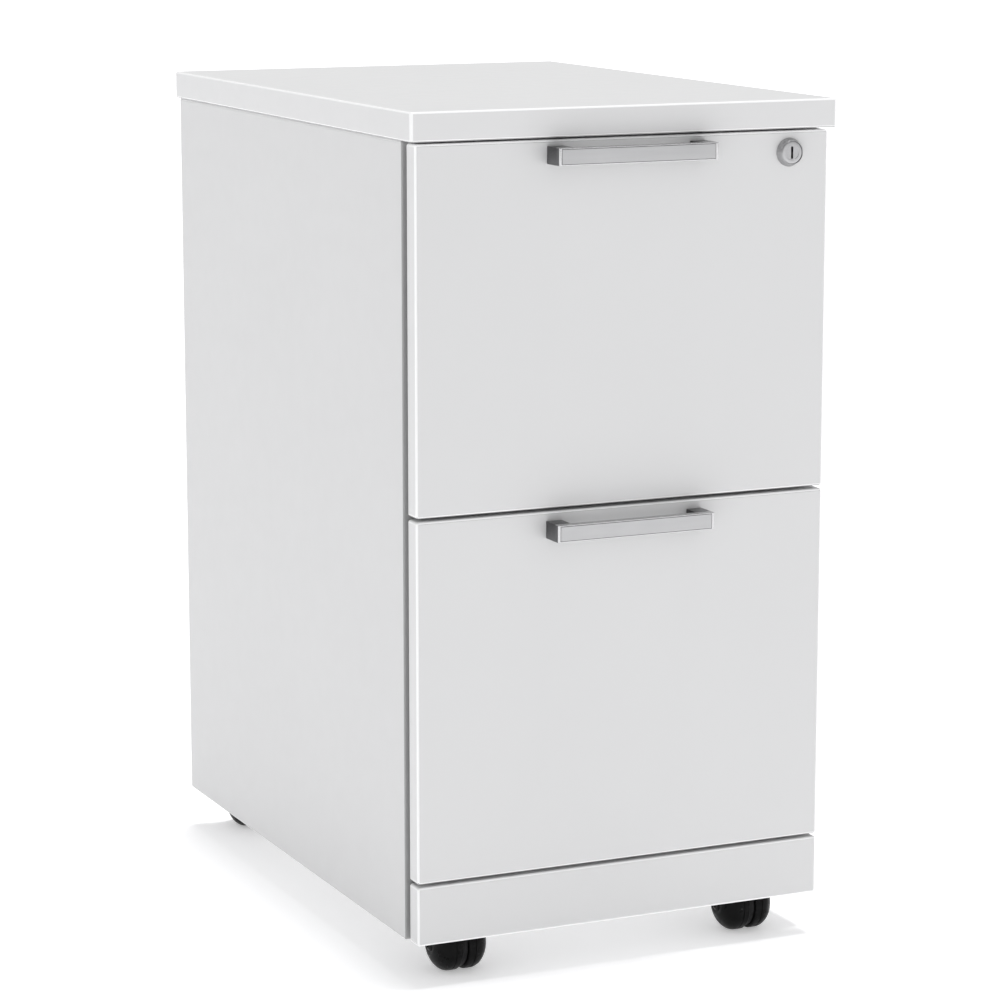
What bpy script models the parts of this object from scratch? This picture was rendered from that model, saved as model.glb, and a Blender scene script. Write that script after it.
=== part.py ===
"""A rolling pedestal cabinet with two file drawers.

A laminate carcass on four twin-wheel casters holds two drawers on full-extension ball slides. A cam lock
in the upper drawer lifts a locking bar, whose tabs stop a catch on each drawer. Metres, +Z up, the front
faces -Y, and the origin is on the floor under the middle of the whole cabinet, handles included.
"""

import math

import bmesh
import bpy
from mathutils import Matrix

# Whole cabinet
TOP_WIDTH = 0.400
TOP_DEPTH = 0.578
TOP_THICKNESS = 0.025
HEIGHT = 0.750
BASE_HEIGHT = 0.0382  # floor to the lower edge of the side panels and the kick panel

# Boards
BOARD = 0.018
BACK_BOARD = 0.015
DRAWER_BOARD = 0.012
BOTTOM_SHEET = 0.006
GAP = 0.0003  # between pieces that touch
BOARD_ROUND = 0.0012
DRAWER_ROUND = 0.0006
SHARP_EDGE = math.radians(40)  # edges that turn more than this are rounded
TURN_STEPS = 24

# Depths are measured back from the top panel's front edge
SIDE_INSET = 0.0035
SIDE_FRONT = 0.0278
SIDE_REAR = 0.576
FRONT_INSET = 0.0058
FRONT_SETBACK = 0.0052
TOP_REVEAL = 0.002
FRONT_GAP = 0.0028
UPPER_FRONT_HEIGHT = 0.3126
LOWER_FRONT_HEIGHT = 0.3146
BASE_BOARD_UNDERSIDE = 0.065
RAIL_DEPTHS = (0.060, 0.130)
COUNTERWEIGHT_HALF_WIDTH = 0.150
COUNTERWEIGHT_DEPTHS = (0.330, 0.530)
COUNTERWEIGHT_THICKNESS = 0.012

# Drawer boxes
SLIDE_SPACE = 0.0127
BOX_HEIGHT = 0.2656
BOX_ABOVE_FRONT_EDGE = 0.012
BOX_REAR = 0.549
BOTTOM_ABOVE_BOX_EDGE = 0.010

# Hanging-file rails, on the top edges of the drawer sides
RAIL_SHEET = 0.0015
RAIL_OUTER_MARGIN = 0.0005
RAIL_LIP = 0.009
RAIL_LEG = 0.014
FILE_RAIL_FRONT = 0.046
FILE_RAIL_REAR = 0.536

# Ball slides: each member is a channel, given by its web, its reach across the gap and its half height
SLIDE_SHEET = 0.0012
SLIDE_ABOVE_BOX_EDGE = 0.085
SLIDE_FRONT = 0.046
SLIDE_LENGTH = 0.500
MIDDLE_MEMBER_SHORTER = 0.004
OUTER_MEMBER = (GAP, 0.0095, 0.0225)
MIDDLE_MEMBER = (0.0027, 0.0105, 0.0203)
INNER_MEMBER = (SLIDE_SPACE - GAP, 0.0045, 0.0179)

# Handles
HANDLE_LENGTH = 0.149
HANDLE_HEIGHT = 0.015
HANDLE_REACH = 0.0245
HANDLE_POST = 0.015
HANDLE_BAR = 0.0055
HANDLE_PLATE = 0.0012
HANDLE_PLATE_LENGTH = 0.1436
HANDLE_PLATE_HEIGHT = 0.0124
HANDLE_ROUND = 0.0006
UPPER_HANDLE_DROP = 0.0052  # drawer front's top edge to the handle's top
LOWER_HANDLE_DROP = 0.0079

# Lock
LOCK_X = 0.156
LOCK_DROP = 0.0455  # top surface to the lock's axis
LOCK_BODY_RADIUS = 0.0085
LOCK_HOLE_RADIUS = 0.0089
LOCK_BEZEL_RADIUS = 0.01235
LOCK_FACE_RADIUS = 0.0104
LOCK_PROJECTION = 0.006
LOCK_BEHIND_FRONT = 0.012
PLUG_HEAD_RADIUS = 0.0096
PLUG_HEAD_CLEARANCE = 0.0003
PLUG_HEAD_DEPTH = 0.0027
PLUG_RADIUS = 0.0065
PLUG_BORE_RADIUS = 0.0068
KEYWAY = (0.002, 0.009, 0.0103)
CAM_THICKNESS = 0.0025
CAM_HUB_RADIUS = 0.007
CAM_TONGUE_LENGTH = 0.013
CAM_TONGUE_HALF_WIDTH = 0.003
CAM_REST_ANGLE = math.radians(-45)
CAM_HUB_POINTS = 15
CAM_TIP_POINTS = 7

# Locking bar and its catches, in the right-hand slide gap in front of the slides
BAR_SHEET = 0.0019
BAR_DEPTHS = (0.0295, 0.0415)
BAR_BOTTOM = 0.315
BAR_FLANGE_X = 0.1655
BAR_FLANGE_ABOVE_LOCK = 0.0028
BAR_FLANGE_SHEET = 0.002
BAR_TAB_X = 0.1685
BAR_TAB_DEPTHS = (0.0393, 0.0413)
BAR_TAB_BELOW_CATCH = (0.0145, 0.0065)
CATCH_BELOW_BOX_TOP = 0.028
CATCH_SHEET = 0.0015
CATCH_PLATE_DEPTHS = (0.0426, 0.0626)
CATCH_PLATE_HALF_HEIGHT = 0.012
CATCH_FINGER_X = 0.174
CATCH_FINGER_DEPTHS = (0.0428, 0.0448)
CATCH_FINGER_HALF_HEIGHT = 0.004

# Casters
WHEEL_RADIUS = 0.025
TRAIL = 0.013
WHEEL_INNER_FACE = 0.0026
WHEEL_CROWN = 0.010
WHEEL_OUTER_FACE = 0.0265
WHEEL_CHAMFER_RADIUS = 0.0234
HUB_FLAT_RADIUS = 0.006
AXLE_RADIUS = 0.003
AXLE_HALF_LENGTH = 0.016
WHEEL_BORE_RADIUS = 0.0033
WHEEL_BORE_END = 0.017
WEB_HALF_THICKNESS = 0.002
WEB_RADIUS = 0.0225
FENDER_RADII = (0.0263, 0.0285)
FENDER_HALF_WIDTH = 0.016
FENDER_ANGLES = (math.radians(50), math.radians(135))
WEB_MARGIN_ANGLE = math.radians(3)
FENDER_POINTS = 9
WEB_POINTS = 19
DOME_POINTS = 6
BOSS_RADIUS = 0.010
BOSS_HEIGHTS = (0.0515, 0.0602)
KINGPIN_RADIUS = 0.004
KINGPIN_BORE_RADIUS = 0.0043
KINGPIN_END = 0.0532
KINGPIN_BORE_END = 0.0526
RACE_RADIUS = 0.015
RACE_UNDERSIDE = 0.0605
MOUNT_PLATE_SIZE = 0.042
MOUNT_PLATE_THICKNESS = 0.0022
KINGPIN_INSET = 0.059  # kingpin axis in from the top panel's side edge
FRONT_KINGPIN = 0.0605
REAR_KINGPIN = 0.537

# Worked out from the dimensions above
HANDLE_OVERHANG = HANDLE_REACH - FRONT_SETBACK
TOP_FRONT = (HANDLE_OVERHANG - TOP_DEPTH) / 2
TOP_UNDERSIDE = HEIGHT - TOP_THICKNESS
FACE_Y = TOP_FRONT + FRONT_SETBACK
INNER_X = TOP_WIDTH / 2 - SIDE_INSET - BOARD
BOX_X = INNER_X - SLIDE_SPACE
UPPER_TOP = TOP_UNDERSIDE - TOP_REVEAL
UPPER_BOTTOM = UPPER_TOP - UPPER_FRONT_HEIGHT
LOWER_TOP = UPPER_BOTTOM - FRONT_GAP
LOWER_BOTTOM = LOWER_TOP - LOWER_FRONT_HEIGHT
KICK_TOP = LOWER_BOTTOM - FRONT_GAP
BASE_BOARD_TOP = BASE_BOARD_UNDERSIDE + BOARD
LOCK_Z = HEIGHT - LOCK_DROP
SIDES = (("left", -1), ("right", 1))
QUARTER_TURN = math.pi / 2


def depth_y(depth):
    """World Y of a plane this far behind the top panel's front edge."""
    return TOP_FRONT + depth


# ---------------------------------------------------------------- scene and materials


def clear_scene():
    for obj in list(bpy.data.objects):
        bpy.data.objects.remove(obj, do_unlink=True)


def new_collection(name):
    collection = bpy.data.collections.new(name)
    bpy.context.scene.collection.children.link(collection)
    return collection


def new_material(name, color, roughness, metallic=0.0):
    material = bpy.data.materials.new(name)
    material.use_nodes = True
    shader = material.node_tree.nodes["Principled BSDF"]
    shader.inputs["Base Color"].default_value = (*color, 1.0)
    shader.inputs["Roughness"].default_value = roughness
    shader.inputs["Metallic"].default_value = metallic
    return material


def white_laminate(name):
    return new_material(name, (0.80, 0.80, 0.81), 0.45)


def white_melamine(name):
    return new_material(name, (0.74, 0.74, 0.74), 0.55)


def zinc_steel(name):
    return new_material(name, (0.62, 0.63, 0.64), 0.35, 1.0)


def satin_metal(name):
    return new_material(name, (0.66, 0.66, 0.66), 0.32, 1.0)


def black_plastic(name):
    return new_material(name, (0.012, 0.012, 0.013), 0.35)


# ---------------------------------------------------------------- shape helpers


def place(obj, name, material, collection):
    """Names an object, gives it its material and moves it to a collection."""
    obj.name = name
    obj.data.name = name
    obj.data.materials.clear()
    obj.data.materials.append(material)
    for other in list(obj.users_collection):
        other.objects.unlink(obj)
    collection.objects.link(obj)
    return obj


def as_helper(obj, name):
    """Turns an object into a hidden operand for a Boolean."""
    for other in list(obj.users_collection):
        other.objects.unlink(obj)
    CUTTERS.objects.link(obj)
    obj.name = name
    obj.hide_render = True
    obj.display_type = "WIRE"
    return obj


def attach(piece, parent):
    """Parents a piece to an empty and leaves it where it stands."""
    piece.parent = parent
    piece.matrix_parent_inverse = parent.matrix_basis.inverted()
    return piece


def new_empty(name, location, heading=0.0):
    empty = bpy.data.objects.new(name, None)
    empty.location = location
    empty.rotation_euler = (0, 0, heading)
    empty.empty_display_size = 0.02
    CABINET.objects.link(empty)
    return empty


def bevel(obj, width, segments=2):
    modifier = obj.modifiers.new("rounded_edges", "BEVEL")
    modifier.width = width
    modifier.segments = segments
    modifier.limit_method = "ANGLE"
    modifier.angle_limit = SHARP_EDGE
    return obj


def combine(obj, other, operation):
    modifier = obj.modifiers.new(operation.lower(), "BOOLEAN")
    modifier.operation = operation
    modifier.object = other
    modifier.solver = "EXACT"
    return obj


def cut(obj, cutter):
    return combine(obj, as_helper(cutter, obj.name + "_cutter"), "DIFFERENCE")


def join(obj, other):
    return combine(obj, as_helper(other, obj.name + "_addition"), "UNION")


def raw_box(low, high):
    """A box between two opposite corners, with its scale applied."""
    centre = [(a + b) / 2 for a, b in zip(low, high)]
    bpy.ops.mesh.primitive_cube_add(size=1.0, location=centre)
    obj = bpy.context.object
    obj.scale = [b - a for a, b in zip(low, high)]
    bpy.ops.object.transform_apply(location=False, rotation=False, scale=True)
    return obj


def board(name, low, high, material, edge=BOARD_ROUND, segments=2):
    obj = place(raw_box(low, high), name, material, CABINET)
    return bevel(obj, edge, segments)


def across(side, near, far):
    """The lower and upper X of a span measured from the cabinet's middle, on the side -1 or 1."""
    return sorted((side * near, side * far))


def extruded(outline, thickness, plane, location=(0, 0, 0)):
    """A flat outline given thickness across its plane, which is XY, XZ or YZ, as a mesh object."""
    curve = bpy.data.curves.new("outline", "CURVE")
    curve.dimensions = "2D"
    curve.fill_mode = "BOTH"
    curve.extrude = thickness / 2
    spline = curve.splines.new("POLY")
    spline.points.add(len(outline) - 1)
    for point, (u, v) in zip(spline.points, outline):
        point.co = (u, v, 0, 1)
    spline.use_cyclic_u = True
    flat = bpy.data.objects.new("outline", curve)
    turns = {"XY": (0, 0, 0), "XZ": (QUARTER_TURN, 0, 0), "YZ": (QUARTER_TURN, 0, QUARTER_TURN)}
    flat.rotation_euler = turns[plane]
    flat.location = location
    CABINET.objects.link(flat)
    bpy.context.view_layer.update()
    evaluated = flat.evaluated_get(bpy.context.evaluated_depsgraph_get())
    mesh = bpy.data.meshes.new_from_object(evaluated)
    close_mesh(mesh)
    obj = bpy.data.objects.new("extrusion", mesh)
    obj.matrix_world = flat.matrix_world
    CABINET.objects.link(obj)
    bpy.data.objects.remove(flat)
    return obj


def close_mesh(mesh):
    """Welds an extruded outline's caps to its walls and turns every face outwards."""
    work = bmesh.new()
    work.from_mesh(mesh)
    bmesh.ops.remove_doubles(work, verts=work.verts, dist=0.000001)
    bmesh.ops.recalc_face_normals(work, faces=work.faces)
    work.to_mesh(mesh)
    work.free()


def turned(profile, steps, closed=False):
    """A shape turned about its own Z from (radius, height) points that run down its outer side."""
    mesh = bpy.data.meshes.new("profile")
    count = len(profile)
    edges = [(i, i + 1) for i in range(count - 1)]
    if closed:
        edges.append((count - 1, 0))
    mesh.from_pydata([(radius, 0, height) for radius, height in profile], edges, [])
    obj = bpy.data.objects.new("turned", mesh)
    CABINET.objects.link(obj)
    screw = obj.modifiers.new("turn", "SCREW")
    screw.axis = "Z"
    screw.steps = steps
    screw.render_steps = steps
    screw.use_merge_vertices = True
    screw.merge_threshold = 0.0001
    screw.use_smooth_shade = True
    return obj


def arc(centre, radius, start, end, count):
    """Points along an arc, both ends included."""
    angles = [start + (end - start) * i / (count - 1) for i in range(count)]
    return [(centre[0] + radius * math.cos(a), centre[1] + radius * math.sin(a)) for a in angles]


# ---------------------------------------------------------------- carcass


def make_top_panel():
    low = (-TOP_WIDTH / 2, TOP_FRONT, TOP_UNDERSIDE)
    high = (TOP_WIDTH / 2, TOP_FRONT + TOP_DEPTH, HEIGHT)
    board("top_panel", low, high, white_laminate("top_laminate"))


def make_side_panel(name, side):
    x0, x1 = across(side, INNER_X, INNER_X + BOARD)
    low = (x0, depth_y(SIDE_FRONT), BASE_HEIGHT)
    high = (x1, depth_y(SIDE_REAR), TOP_UNDERSIDE - GAP)
    board("side_panel_" + name, low, high, white_laminate("side_laminate_" + name))


def make_back_panel():
    rear = depth_y(SIDE_REAR) - BOARD_ROUND
    low = (GAP - INNER_X, rear - BACK_BOARD, BASE_BOARD_TOP + GAP)
    high = (INNER_X - GAP, rear, TOP_UNDERSIDE - GAP)
    board("back_panel", low, high, white_laminate("back_laminate"), DRAWER_ROUND)


def make_bottom_panel():
    low = (GAP - INNER_X, FACE_Y + BOARD + GAP, BASE_BOARD_UNDERSIDE)
    high = (INNER_X - GAP, depth_y(SIDE_REAR) - BOARD_ROUND, BASE_BOARD_TOP)
    board("bottom_panel", low, high, white_laminate("bottom_laminate"), DRAWER_ROUND)


def make_kick_panel():
    half = TOP_WIDTH / 2 - FRONT_INSET
    low = (-half, FACE_Y, BASE_HEIGHT)
    high = (half, FACE_Y + BOARD, KICK_TOP)
    board("kick_panel", low, high, white_laminate("kick_laminate"))


def make_front_rail():
    low = (GAP - INNER_X, depth_y(RAIL_DEPTHS[0]), TOP_UNDERSIDE - GAP - BOARD)
    high = (INNER_X - GAP, depth_y(RAIL_DEPTHS[1]), TOP_UNDERSIDE - GAP)
    board("front_rail", low, high, white_melamine("rail_melamine"), DRAWER_ROUND)


def make_counterweight():
    under = BASE_BOARD_TOP + GAP
    low = (-COUNTERWEIGHT_HALF_WIDTH, depth_y(COUNTERWEIGHT_DEPTHS[0]), under)
    high = (COUNTERWEIGHT_HALF_WIDTH, depth_y(COUNTERWEIGHT_DEPTHS[1]), under + COUNTERWEIGHT_THICKNESS)
    steel = new_material("counterweight_steel", (0.11, 0.11, 0.12), 0.55, 1.0)
    board("counterweight", low, high, steel, DRAWER_ROUND)


def make_carcass():
    make_top_panel()
    for name, side in SIDES:
        make_side_panel(name, side)
    make_back_panel()
    make_bottom_panel()
    make_kick_panel()
    make_front_rail()
    make_counterweight()


# ---------------------------------------------------------------- ball slides


def channel_outline(base, reach, half_height):
    """A channel section whose web stands at base and whose flanges end at reach."""
    inner = base + math.copysign(SLIDE_SHEET, reach - base)
    inside = half_height - SLIDE_SHEET
    lower = [(base, -half_height), (reach, -half_height), (reach, -inside), (inner, -inside)]
    return lower + [(u, -v) for u, v in reversed(lower)]


def make_slide_member(name, member, side, height, shorter=0.0):
    """One member of a slide, with its section measured from the side panel's inner face."""
    outline = [(side * (INNER_X - u), v) for u, v in channel_outline(*member)]
    middle = depth_y(SLIDE_FRONT + SLIDE_LENGTH / 2)
    obj = extruded(outline, SLIDE_LENGTH - 2 * shorter, "XZ", (0, middle, height))
    return place(obj, name, zinc_steel(name + "_zinc"), CABINET)


def make_slides(level, box_bottom, drawer, middles):
    height = box_bottom + SLIDE_ABOVE_BOX_EDGE
    for name, side in SIDES:
        make_slide_member(f"{level}_slide_outer_{name}", OUTER_MEMBER, side, height)
        middle = make_slide_member(
            f"{level}_slide_middle_{name}", MIDDLE_MEMBER, side, height, MIDDLE_MEMBER_SHORTER
        )
        attach(middle, middles)
        inner = make_slide_member(f"{level}_slide_inner_{name}", INNER_MEMBER, side, height)
        attach(inner, drawer)


# ---------------------------------------------------------------- drawers


def make_drawer_front(level, bottom, top):
    half = TOP_WIDTH / 2 - FRONT_INSET
    name = level + "_drawer_front"
    low = (-half, FACE_Y, bottom)
    high = (half, FACE_Y + BOARD, top)
    return board(name, low, high, white_laminate(name + "_laminate"))


def make_drawer_box(level, box_bottom, drawer):
    front = FACE_Y + BOARD + GAP
    rear = depth_y(BOX_REAR)
    box_top = box_bottom + BOX_HEIGHT
    inner_x = BOX_X - DRAWER_BOARD
    prefix = level + "_drawer_"
    for name, side in SIDES:
        x0, x1 = across(side, inner_x, BOX_X)
        low = (x0, front, box_bottom)
        high = (x1, rear, box_top)
        piece = prefix + "side_" + name
        attach(board(piece, low, high, white_melamine(piece + "_melamine"), DRAWER_ROUND), drawer)
    low = (GAP - inner_x, rear - DRAWER_BOARD, box_bottom)
    high = (inner_x - GAP, rear, box_top)
    material = white_melamine(prefix + "back_melamine")
    attach(board(prefix + "back", low, high, material, DRAWER_ROUND), drawer)
    sheet_bottom = box_bottom + BOTTOM_ABOVE_BOX_EDGE
    low = (GAP - inner_x, front, sheet_bottom)
    high = (inner_x - GAP, rear - DRAWER_BOARD - GAP, sheet_bottom + BOTTOM_SHEET)
    material = white_melamine(prefix + "bottom_melamine")
    attach(board(prefix + "bottom", low, high, material, GAP, 1), drawer)


def make_file_rails(level, box_bottom, drawer):
    """Rails that hanging folders hook over: a strip on the drawer side with a leg inside and a lip above."""
    top = box_bottom + BOX_HEIGHT
    leg_outer = DRAWER_BOARD + GAP
    leg_inner = leg_outer + RAIL_SHEET
    section = [
        (RAIL_OUTER_MARGIN, GAP),
        (RAIL_OUTER_MARGIN, GAP + RAIL_SHEET),
        (leg_outer, GAP + RAIL_SHEET),
        (leg_outer, RAIL_LIP),
        (leg_inner, RAIL_LIP),
        (leg_inner, -RAIL_LEG),
        (leg_outer, -RAIL_LEG),
        (leg_outer, GAP),
    ]
    length = FILE_RAIL_REAR - FILE_RAIL_FRONT
    middle = depth_y((FILE_RAIL_FRONT + FILE_RAIL_REAR) / 2)
    for name, side in SIDES:
        outline = [(side * (BOX_X - u), v) for u, v in section]
        piece = f"{level}_file_rail_{name}"
        obj = extruded(outline, length, "XZ", (0, middle, top))
        place(obj, piece, new_material(piece + "_plastic", (0.62, 0.63, 0.64), 0.5), CABINET)
        attach(obj, drawer)


def make_handle(level, top, drawer):
    """A square bar on two square posts, with a plate on the bar's face."""
    half = HANDLE_LENGTH / 2
    bar_face = HANDLE_PLATE + GAP - HANDLE_REACH
    bar_rear = bar_face + HANDLE_BAR
    outline = [
        (-half, -GAP),
        (-half, bar_face),
        (half, bar_face),
        (half, -GAP),
        (half - HANDLE_POST, -GAP),
        (half - HANDLE_POST, bar_rear),
        (HANDLE_POST - half, bar_rear),
        (HANDLE_POST - half, -GAP),
    ]
    middle = top - HANDLE_HEIGHT / 2
    body = extruded(outline, HANDLE_HEIGHT, "XY", (0, FACE_Y, middle))
    name = level + "_handle"
    place(body, name, satin_metal(name + "_metal"), CABINET)
    attach(bevel(body, HANDLE_ROUND), drawer)
    low = (-HANDLE_PLATE_LENGTH / 2, FACE_Y - HANDLE_REACH, middle - HANDLE_PLATE_HEIGHT / 2)
    high = (HANDLE_PLATE_LENGTH / 2, low[1] + HANDLE_PLATE, middle + HANDLE_PLATE_HEIGHT / 2)
    plate = board(name + "_plate", low, high, satin_metal(name + "_plate_metal"), GAP, 1)
    attach(plate, drawer)


def make_drawer(level, bottom, top, handle_drop):
    drawer = new_empty(level + "_drawer_axis", (0, FACE_Y, bottom))
    middles = new_empty(level + "_slide_middles_axis", (0, FACE_Y, bottom))
    front = attach(make_drawer_front(level, bottom, top), drawer)
    box_bottom = bottom + BOX_ABOVE_FRONT_EDGE
    make_drawer_box(level, box_bottom, drawer)
    make_file_rails(level, box_bottom, drawer)
    make_handle(level, top - handle_drop, drawer)
    make_slides(level, box_bottom, drawer, middles)
    make_catch(level, box_bottom + BOX_HEIGHT - CATCH_BELOW_BOX_TOP, drawer)
    return drawer, front


# ---------------------------------------------------------------- lock


def lock_turned(profile, closed=False):
    """A turned lock piece on the lock's axis, with its local Z out of the drawer front."""
    obj = turned(profile, TURN_STEPS, closed)
    obj.location = (LOCK_X, FACE_Y, LOCK_Z)
    obj.rotation_euler = (QUARTER_TURN, 0, 0)
    return obj


def make_lock_hole(front):
    outside = BOARD
    inside = -2 * BOARD
    profile = [(0, outside), (LOCK_HOLE_RADIUS, outside), (LOCK_HOLE_RADIUS, inside), (0, inside)]
    cut(front, lock_turned(profile))


def make_lock_housing(drawer):
    rear = -BOARD - LOCK_BEHIND_FRONT
    recess = PLUG_HEAD_RADIUS + PLUG_HEAD_CLEARANCE
    recess_floor = LOCK_PROJECTION - PLUG_HEAD_DEPTH - GAP
    profile = [
        (LOCK_FACE_RADIUS, LOCK_PROJECTION),
        (LOCK_BEZEL_RADIUS, GAP * 2),
        (LOCK_BEZEL_RADIUS, GAP),
        (LOCK_BODY_RADIUS, GAP),
        (LOCK_BODY_RADIUS, rear),
        (PLUG_BORE_RADIUS, rear),
        (PLUG_BORE_RADIUS, recess_floor),
        (recess, recess_floor),
        (recess, LOCK_PROJECTION),
    ]
    obj = lock_turned(profile, closed=True)
    attach(place(obj, "lock_housing", satin_metal("lock_housing_metal"), CABINET), drawer)


def make_lock_plug(drawer):
    """The plug turns with its key; its head fills the recess in the housing's face."""
    rear = GAP / 2 - BOARD - LOCK_BEHIND_FRONT
    face = LOCK_PROJECTION - GAP / 2
    shoulder = face - PLUG_HEAD_DEPTH
    profile = [
        (0, face),
        (PLUG_HEAD_RADIUS - GAP, face),
        (PLUG_HEAD_RADIUS, face - GAP),
        (PLUG_HEAD_RADIUS, shoulder),
        (PLUG_RADIUS, shoulder),
        (PLUG_RADIUS, rear),
        (0, rear),
    ]
    obj = lock_turned(profile)
    attach(place(obj, "lock_plug", satin_metal("lock_plug_metal"), CABINET), drawer)
    width, depth, height = KEYWAY
    front_y = FACE_Y - face
    low = (LOCK_X - width / 2, front_y - depth, LOCK_Z - height / 2)
    high = (LOCK_X + width / 2, front_y + depth, LOCK_Z + height / 2)
    cut(obj, raw_box(low, high))


def cam_outline():
    """A round hub with a round-ended tongue at the cam's rest angle."""
    spread = math.asin(CAM_TONGUE_HALF_WIDTH / CAM_HUB_RADIUS)
    start = CAM_REST_ANGLE + spread
    end = CAM_REST_ANGLE + math.tau - spread
    hub = arc((0, 0), CAM_HUB_RADIUS, start, end, CAM_HUB_POINTS)
    tip = (CAM_TONGUE_LENGTH * math.cos(CAM_REST_ANGLE), CAM_TONGUE_LENGTH * math.sin(CAM_REST_ANGLE))
    start = CAM_REST_ANGLE - QUARTER_TURN
    return hub + arc(tip, CAM_TONGUE_HALF_WIDTH, start, start + math.pi, CAM_TIP_POINTS)


def make_lock_cam(drawer):
    front = FACE_Y + BOARD + LOCK_BEHIND_FRONT + GAP
    obj = extruded(cam_outline(), CAM_THICKNESS, "XZ", (LOCK_X, front + CAM_THICKNESS / 2, LOCK_Z))
    attach(place(obj, "lock_cam", zinc_steel("lock_cam_zinc"), CABINET), drawer)


def make_lock(drawer, front):
    make_lock_hole(front)
    make_lock_housing(drawer)
    make_lock_plug(drawer)
    make_lock_cam(drawer)


def catch_height(bottom):
    return bottom + BOX_ABOVE_FRONT_EDGE + BOX_HEIGHT - CATCH_BELOW_BOX_TOP


def make_lock_bar():
    """A strip on the right side panel with a flange over the cam and a tab under each drawer's catch."""
    flange = LOCK_Z + BAR_FLANGE_ABOVE_LOCK
    outer = INNER_X - GAP
    inner = outer - BAR_SHEET
    overlap = outer - BAR_SHEET / 2
    front, rear = (depth_y(depth) for depth in BAR_DEPTHS)
    strip = raw_box((inner, front, BAR_BOTTOM), (outer, rear, flange + BAR_FLANGE_SHEET - GAP))
    bar = place(strip, "lock_bar", zinc_steel("lock_bar_zinc"), CABINET)
    shelf = raw_box((BAR_FLANGE_X, front + GAP, flange), (overlap, rear - GAP, flange + BAR_FLANGE_SHEET))
    join(bar, shelf)
    tab_front, tab_rear = (depth_y(depth) for depth in BAR_TAB_DEPTHS)
    for bottom in (UPPER_BOTTOM, LOWER_BOTTOM):
        low_z, high_z = (catch_height(bottom) - below for below in BAR_TAB_BELOW_CATCH)
        join(bar, raw_box((BAR_TAB_X, tab_front, low_z), (overlap, tab_rear, high_z)))


def make_catch(level, height, drawer):
    """A plate on the drawer's right side with a finger that the bar's tab stops."""
    inner = BOX_X + GAP
    outer = inner + CATCH_SHEET
    front, rear = (depth_y(depth) for depth in CATCH_PLATE_DEPTHS)
    low = (inner, front, height - CATCH_PLATE_HALF_HEIGHT)
    high = (outer, rear, height + CATCH_PLATE_HALF_HEIGHT)
    name = "lock_catch_" + level
    plate = place(raw_box(low, high), name, zinc_steel(name + "_zinc"), CABINET)
    finger_front, finger_rear = (depth_y(depth) for depth in CATCH_FINGER_DEPTHS)
    low = (inner + CATCH_SHEET / 2, finger_front, height - CATCH_FINGER_HALF_HEIGHT)
    high = (CATCH_FINGER_X, finger_rear, height + CATCH_FINGER_HALF_HEIGHT)
    join(plate, raw_box(low, high))
    attach(plate, drawer)


# ---------------------------------------------------------------- casters
# Each caster is drawn in its own frame: the kingpin axis is Z, and the wheels trail towards -Y.


def trailing_arc(radius, start, end, count):
    """Points about the axle, with the angle measured up from the trailing side, as (Y, Z)."""
    return [(-TRAIL - y, z) for y, z in arc((0, WHEEL_RADIUS), radius, start, end, count)]


def make_mount_plate(name, swivel):
    half = MOUNT_PLATE_SIZE / 2
    top = BASE_BOARD_UNDERSIDE - GAP
    plate = raw_box((-half, -half, top - MOUNT_PLATE_THICKNESS), (half, half, top))
    place(plate, name + "_plate", zinc_steel(name + "_plate_zinc"), CABINET)
    race_top = top - MOUNT_PLATE_THICKNESS / 2
    pin = turned(
        [
            (0, race_top),
            (RACE_RADIUS, race_top),
            (RACE_RADIUS, RACE_UNDERSIDE),
            (KINGPIN_RADIUS, RACE_UNDERSIDE),
            (KINGPIN_RADIUS, KINGPIN_END),
            (0, KINGPIN_END),
        ],
        TURN_STEPS,
    )
    join(plate, pin)
    pin.parent = swivel
    plate.parent = swivel


def web_outline():
    """The plate between the wheels, round below and reaching into the fender above."""
    start = FENDER_ANGLES[0] + WEB_MARGIN_ANGLE
    end = FENDER_ANGLES[1] - WEB_MARGIN_ANGLE
    reach = sum(FENDER_RADII) / 2
    upper = trailing_arc(reach, start, end, FENDER_POINTS)
    return upper + trailing_arc(WEB_RADIUS, end, start + math.tau, WEB_POINTS)


def fender_outline():
    inner, outer = FENDER_RADII
    start, end = FENDER_ANGLES
    upper = trailing_arc(outer, start, end, FENDER_POINTS)
    return upper + trailing_arc(inner, end, start, FENDER_POINTS)


def make_caster_body(name, swivel):
    """The swivelling body: web, fender, kingpin boss and the axle that both wheels turn on."""
    body = extruded(fender_outline(), 2 * FENDER_HALF_WIDTH, "YZ")
    place(body, name + "_body", black_plastic(name + "_body_plastic"), CABINET)
    body.parent = swivel
    low, high = BOSS_HEIGHTS
    additions = [
        extruded(web_outline(), 2 * WEB_HALF_THICKNESS, "YZ"),
        turned([(0, high), (BOSS_RADIUS, high), (BOSS_RADIUS, low), (0, low)], TURN_STEPS),
        turned(
            [
                (0, AXLE_HALF_LENGTH),
                (AXLE_RADIUS, AXLE_HALF_LENGTH),
                (AXLE_RADIUS, -AXLE_HALF_LENGTH),
                (0, -AXLE_HALF_LENGTH),
            ],
            TURN_STEPS // 2,
        ),
    ]
    axle = additions[-1]
    axle.rotation_euler = (0, QUARTER_TURN, 0)
    axle.location = (0, -TRAIL, WHEEL_RADIUS)
    for addition in additions:
        join(body, addition)
        addition.parent = swivel
    above = high + GAP
    bore = turned(
        [
            (0, above),
            (KINGPIN_BORE_RADIUS, above),
            (KINGPIN_BORE_RADIUS, KINGPIN_BORE_END),
            (0, KINGPIN_BORE_END),
        ],
        TURN_STEPS,
    )
    cut(body, bore)
    bore.parent = swivel


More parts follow.
